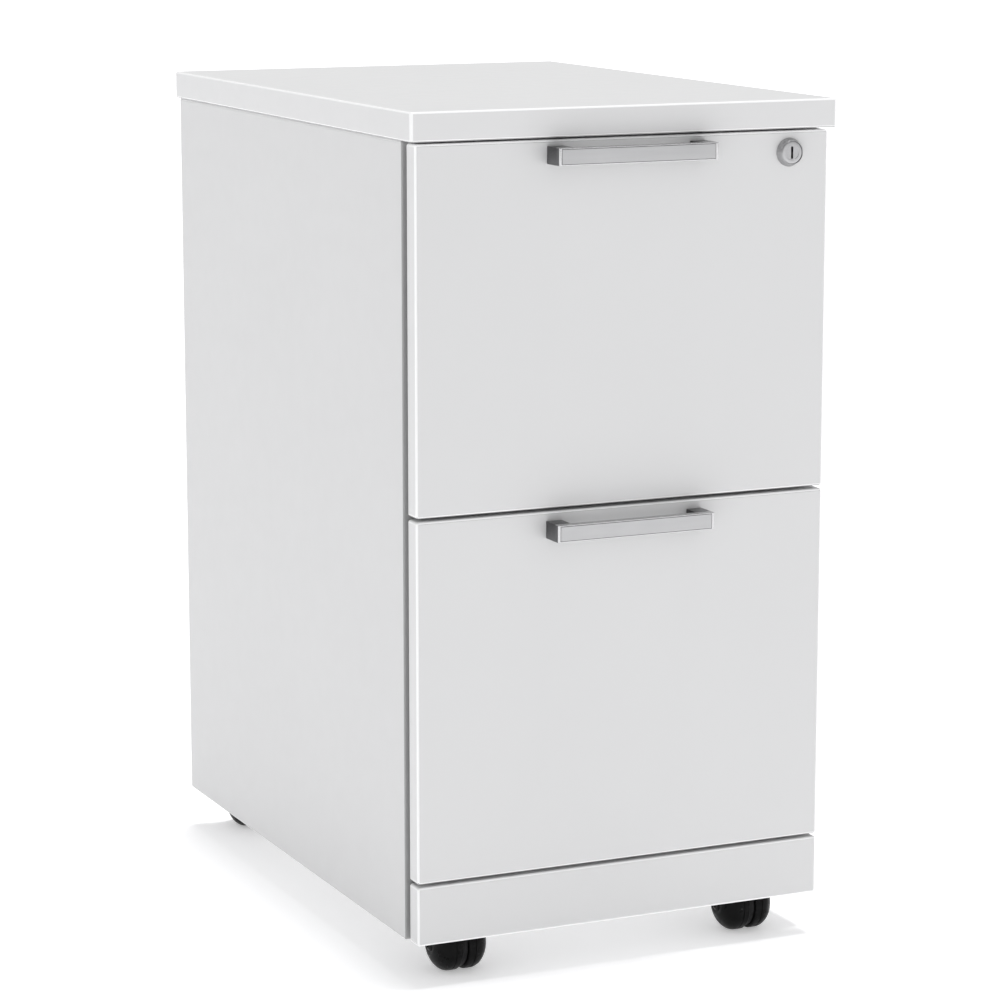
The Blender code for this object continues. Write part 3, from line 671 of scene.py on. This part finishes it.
def wheel_profile(radius, inner, outer):
    """A domed wheel's section as (radius, distance from the caster's middle), hub cap to bore."""
    crown = WHEEL_CROWN
    cap = [
        (0, outer - 0.0012), (0.0028, outer - 0.0010), (0.0034, outer - 0.0003),
        (0.0040, outer - 0.0001), (0.0062, outer - 0.0009), (0.0066, outer - 0.0016),
        (0.0070, outer - 0.0014),
    ]
    angles = [math.radians(90 * i / 21) for i in range(4, 21)]
    dome = [(radius * math.sin(a), crown + (outer - crown) * math.cos(a)) for a in angles]
    dome = [point for point in dome if point[0] > HUB_RADIUS]
    bottom = radius - WHEEL_GROOVE
    tread = [
        (radius, crown), (radius, crown - 0.0006), (bottom, crown - 0.0008),
        (bottom, crown - 0.0012), (radius, crown - 0.0014), (radius, inner + 0.0016),
        (bottom, inner + 0.0006), (radius - 0.0014, inner),
    ]
    back = [
        (radius - 0.0046, inner), (radius - 0.0050, inner + 0.0004),
        (radius - 0.0052, inner + 0.0014), (HUB_RADIUS, inner + 0.0014),
        (0.0070, inner + 0.0004), (0.0066, inner), (0.0033, inner),
        (0.0033, inner + 0.012), (0, inner + 0.012),
    ]
    return cap + dome + tread + back


def make_wheels(caster, plate_middle):
    for side, _ in SIDES:
        node = f"{caster}_wheel_{side}"
        low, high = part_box(node)
        centre = (low + high) / 2
        radius = centre.z
        outward = 1 if centre.x > plate_middle.x else -1
        near, far = sorted((abs(low.x - plate_middle.x), abs(high.x - plate_middle.x)))
        base = Vector((plate_middle.x, centre.y, radius))
        mesh = turned_mesh(wheel_profile(radius, near, far), FINE, facing(base, (outward, 0, 0)))
        new_piece(node + "_domed", mesh, BLACK_TREAD, node, [node])


def make_caster_body(caster, middle):
    """A fender over the wheels, a web down to the axle between them, and a boss on the kingpin."""
    node = caster + "_body"
    wheel_low, wheel_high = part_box(caster + "_wheel_left")
    axle = ((wheel_low.y + wheel_high.y) / 2, AXLE_HEIGHT)
    way = 1 if axle[0] > middle.y else -1

    def trailing(radius, start, end, count):
        return [(axle[0] + way * (y - axle[0]), z) for y, z in arc(axle, radius, start, end, count)]

    start, end = (math.radians(angle) for angle in FENDER_SPAN)
    inner, outer = FENDER_RADII
    fender = trailing(outer, start, end, 19) + trailing(inner, end, start, 19)
    hood = prism_mesh(fender, middle.x - FENDER_REACH, middle.x + FENDER_REACH, 0, SOFT_EDGE, 2)
    start, end = start + math.radians(3), end - math.radians(3)
    inner, outer = WEB_RADII
    web = trailing(outer, start, end, 15) + trailing(inner, end, start + math.tau, 33)
    plate = prism_mesh(web, middle.x - WEB_REACH, middle.x + WEB_REACH, 0)
    boss_at = Matrix.Translation((middle.x, middle.y, 0))
    boss = [(0, 0.0602), (0.0094, 0.0602), (0.0100, 0.0596), (0.0100, 0.0515), (0, 0.0515)]
    pin = [
        (0, AXLE_REACH), (0.0026, AXLE_REACH), (0.003, AXLE_REACH - 0.0004),
        (0.003, 0.0004 - AXLE_REACH), (0.0026, -AXLE_REACH), (0, -AXLE_REACH),
    ]
    boss = turned_mesh(boss, MEDIUM, boss_at)
    pin = turned_mesh(pin, MEDIUM, facing((middle.x, axle[0], axle[1]), (1, 0, 0)))
    mesh = combined(hood, [plate, boss, pin], "UNION")
    bore = [(0, 0.062), (KINGPIN_HOLE, 0.062), (KINGPIN_HOLE, 0.0526), (0, 0.0526)]
    mesh = combined(mesh, [turned_mesh(bore, MEDIUM, boss_at)], "DIFFERENCE")
    new_piece(node + "_moulded", mesh, BLACK_PLASTIC, node, [node])


def cross_head(radius, height):
    """A pan-head screw's head with a cross recess, standing on Z 0."""
    head = turned_mesh([
        (0, height), (radius * 0.55, height * 0.96), (radius * 0.86, height * 0.7),
        (radius, height * 0.25), (radius, 0), (0, 0),
    ], 20)
    arm, slot = radius * 0.62, radius * 0.13
    arms = [
        box_mesh((-arm, -slot, height * 0.35), (arm, slot, height * 2)),
        box_mesh((-slot, -arm, height * 0.35), (slot, arm, height * 2)),
    ]
    return combined(head, arms, "DIFFERENCE")


PAN_SCREW = cross_head(0.0042, 0.0018)
FLAT_SCREW = cross_head(0.0034, 0.0009)
CAM_DISC = cross_head(0.0074, 0.0006)


def make_casters():
    for end, side in CORNERS:
        caster = f"caster_{end}_{side}"
        low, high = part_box(caster + "_plate")
        middle = (low + high) / 2
        make_wheels(caster, middle)
        make_caster_body(caster, middle)
        repaint(ZINC, caster + "_plate")
        under = high.z - PLATE_SHEET
        away = (-PLATE_SCREW_OFFSET, PLATE_SCREW_OFFSET)
        spots = [(middle.x + dx, middle.y + dy, under) for dx in away for dy in away]
        screws = [facing(spot, (0, 0, -1), 0.3 * i) for i, spot in enumerate(spots)]
        scattered(caster + "_screws", PAN_SCREW, screws, ZINC, "carcass")


make_casters()


# ---------------------------------------------------------------- ball slides


def member_mesh(low, high, web_x, other_x, cutters):
    """A channel with soft bends and pierced web, its web at web_x and its flanges reaching other_x."""
    inner = web_x + math.copysign(SHEET, other_x - web_x)
    outline = [
        (web_x, low.z), (other_x, low.z), (other_x, low.z + SHEET), (inner, low.z + SHEET),
        (inner, high.z - SHEET), (other_x, high.z - SHEET), (other_x, high.z), (web_x, high.z),
    ]
    channel = prism_mesh(outline, low.y, high.y, 1, 0.0004, 2)
    return combined(channel, cutters, "DIFFERENCE")


def make_member(level, member, side, way, body):
    """One member of a ball slide, with a slot behind every round hole but the last."""
    node = f"{level}_slide_{member}_{side}"
    low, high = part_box(node)
    height = (low.z + high.z) / 2
    ends = (high.x, low.x) if way > 0 else (low.x, high.x)  # at the side panel, at the drawer
    web_x, other_x = ends if member != "inner" else ends[::-1]
    near, far = web_x - THROUGH, web_x + THROUGH
    hole = [(0, 0), (HOLE_RADIUS, 0), (HOLE_RADIUS, far - near), (0, far - near)]
    cutters = []
    for along in HOLES:
        y = low.y + along * (high.y - low.y) / MEMBER_LENGTH
        cutters.append(turned_mesh(hole, 16, facing((near, y, height), (1, 0, 0))))
        if along < HOLES[-1]:
            slot_low = (near, y + SLOT_START, height - SLOT_HALF_HEIGHT)
            slot_high = (far, y + SLOT_START + SLOT_LENGTH, height + SLOT_HALF_HEIGHT)
            cutters.append(box_mesh(slot_low, slot_high))
    mesh = member_mesh(low, high, web_x, other_x, cutters)
    new_piece(node + "_rolled", mesh, ZINC, body, [node])
    face = web_x + math.copysign(SHEET, other_x - web_x)
    return [(face, low.y + along, height) for along in SCREWED], face, other_x


def make_slides(level):
    drawer = level + "_drawer"
    for side, way in SIDES:
        spots, _, _ = make_member(level, "outer", side, way, "carcass")
        name = f"{level}_slide_panel_screws_{side}"
        screws = [facing(spot, (-way, 0, 0), 0.4) for spot in spots]
        scattered(name, FLAT_SCREW, screws, ZINC, "carcass")
        make_member(level, "middle", side, way, level + "_slide_middles")
        spots, face, other_x = make_member(level, "inner", side, way, drawer)
        name = f"{level}_slide_drawer_screws_{side}"
        screws = [facing(spot, (way, 0, 0), 1.1) for spot in spots]
        scattered(name, FLAT_SCREW, screws, ZINC, drawer)
        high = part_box(f"{level}_slide_inner_{side}")[1]
        height = spots[0][2]
        stop_low = Vector((min(face, other_x), high.y - 0.0075, height + 0.0045))
        stop_high = Vector((max(face, other_x), high.y - 0.0015, height + 0.0165))
        stop = box_mesh(stop_low, stop_high, 0.0008, 3)
        new_piece(f"{level}_slide_buffer_{side}", stop, BLACK_PLASTIC, drawer)


for level in LEVELS:
    make_slides(level)


# ---------------------------------------------------------------- drawer fittings


def dome(radius, height, steps=24):
    """A low rubber or plastic button, standing on Z 0."""
    angles = [math.radians(a) for a in (20, 40, 60, 75)]
    crown = [(radius * math.sin(a), height * (0.55 + 0.45 * math.cos(a))) for a in angles]
    return turned_mesh([(0, height)] + crown + [(radius, height * 0.5), (radius, 0), (0, 0)], steps)


BUMPER = dome(0.0045, 0.0038)
COVER = dome(0.0065, 0.0016, 32)


def make_fittings(level):
    """Screws behind the handle, bumpers behind the front, and what holds the drawer box together."""
    drawer = level + "_drawer"
    low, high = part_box(drawer + "_front")
    handle_low, handle_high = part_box(level + "_handle")
    height = (handle_low.z + handle_high.z) / 2
    across = handle_high.x - HANDLE_POST / 2
    screws = [facing((x, high.y, height), (0, 1, 0), 0.5) for x in (-across, across)]
    scattered(level + "_handle_screws", PAN_SCREW, screws, ZINC, drawer)
    across = high.x - BUMPER_INSET
    heights = (low.z + BUMPER_FROM_EDGES[0], high.z - BUMPER_FROM_EDGES[1])
    pads = [facing((x, high.y, z), (0, 1, 0)) for x in (-across, across) for z in heights]
    scattered(level + "_bumpers", BUMPER, pads, RUBBER, drawer)
    for side, way in SIDES:
        board_low, board_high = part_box(f"{drawer}_side_{side}")
        inner = board_low.x if way > 0 else board_high.x
        outer = board_high.x if way > 0 else board_low.x
        heights = (board_low.z + CAM_FROM_EDGES[0], board_high.z - CAM_FROM_EDGES[1])
        setback = board_low.y + CAM_SETBACK
        discs = [facing((inner, setback, z), (-way, 0, 0), 0.7) for z in heights]
        scattered(f"{level}_cam_fittings_{side}", CAM_DISC, discs, ZINC, drawer)
        setback = board_high.y - SCREW_SETBACK
        rear = [facing((outer, setback, z), (way, 0, 0), 0.2) for z in heights]
        scattered(f"{level}_box_screws_{side}", FLAT_SCREW, rear, ZINC, drawer)


for level in LEVELS:
    make_fittings(level)


def make_carcass_fittings():
    """Cover caps over the cam fittings inside the side panels, and screws through the back panel."""
    back_low, back_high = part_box("back_panel")
    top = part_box("front_rail")[0].z
    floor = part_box("bottom_panel")[1].z
    for side, way in SIDES:
        low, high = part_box("side_panel_" + side)
        inner = low.x if way > 0 else high.x
        heights = (top - 0.010, floor + 0.016)
        setbacks = (low.y + 0.060, high.y - 0.070)
        caps = [facing((inner, y, z), (-way, 0, 0)) for z in heights for y in setbacks]
        scattered("cover_caps_" + side, COVER, caps, GREY_PLASTIC, "carcass")
    across = back_high.x - BACK_SCREW_INSET
    heights = [back_low.z + 0.020, (back_low.z + back_high.z) / 2, back_high.z - 0.020]
    spots = [(x, back_high.y, z) for x in (-across, across) for z in heights]
    screws = [facing(spot, (0, 1, 0), 0.3 * i) for i, spot in enumerate(spots)]
    scattered("back_panel_screws", FLAT_SCREW, screws, ZINC, "carcass")


make_carcass_fittings()


# ---------------------------------------------------------------- studio


def make_floor():
    work = bmesh.new()
    bmesh.ops.create_grid(work, x_segments=8, y_segments=8, size=60.0)
    floor = bpy.data.objects.new("floor", to_mesh(work, "floor"))
    floor.data.materials.append(finish_material(
        "pale_floor", (0.93, 0.93, 0.94), 0.6, specular=0.1, glow=FLOOR_GLOW,
        mottle=(0.7, 0.002), gloss=(3.0, 0.02), relief=(40.0, 0.00001),
    ))
    SCENE.collection.objects.link(floor)


def area_light(name, place, target, size, power):
    data = bpy.data.lights.new(name, "AREA")
    data.shape = "RECTANGLE"
    data.size, data.size_y = size
    data.energy = power
    lamp = bpy.data.objects.new(name, data)
    lamp.location = place
    lamp.rotation_euler = (Vector(target) - Vector(place)).to_track_quat("-Z", "Y").to_euler()
    SCENE.collection.objects.link(lamp)


def sun_light(name, direction, softness, strength):
    """A soft light from far away, so that it falls evenly on the whole floor."""
    data = bpy.data.lights.new(name, "SUN")
    data.angle = math.radians(softness)
    data.energy = strength
    lamp = bpy.data.objects.new(name, data)
    lamp.rotation_euler = Vector(direction).to_track_quat("Z", "Y").to_euler()
    SCENE.collection.objects.link(lamp)


def make_world():
    """Even soft light from all round, and a plain white background behind it."""
    world = bpy.data.worlds.new("studio")
    world.use_nodes = True
    tree = world.node_tree
    shade = tree.nodes["Background"]
    shade.inputs["Color"].default_value = (0.992, 0.995, 1.0, 1.0)
    seen = tree.nodes.new("ShaderNodeLightPath").outputs["Is Camera Ray"]
    link(tree, spread(tree, seen, WORLD_STRENGTH, 1.0, 0, 1), shade.inputs["Strength"])
    SCENE.world = world


def make_camera():
    data = bpy.data.cameras.new("camera")
    data.sensor_width = 36.0
    data.lens = CAMERA_LENS
    camera = bpy.data.objects.new("camera", data)
    top_low, top_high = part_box("top_panel")
    corner = Vector((top_low.x, top_low.y, top_high.z))
    camera.location = corner + Vector(CAMERA_OFFSET)
    camera.rotation_euler = (math.radians(90 - CAMERA_DOWN), 0, math.radians(-CAMERA_RIGHT))
    data.clip_start, data.clip_end = 0.1, 200.0
    SCENE.collection.objects.link(camera)
    SCENE.camera = camera


make_floor()
make_world()
sun_light("overhead", (0.09, 0.04, 1.0), 14, 2.15)
area_light("front", (1.4, -4.2, 0.95), (0, 0, 0.4), (2.4, 1.6), 2.2)
area_light("left", (-4.2, -1.2, 0.95), (0, 0, 0.4), (2.4, 1.6), 0.6)
make_camera()
SCENE.view_settings.view_transform = "Standard"
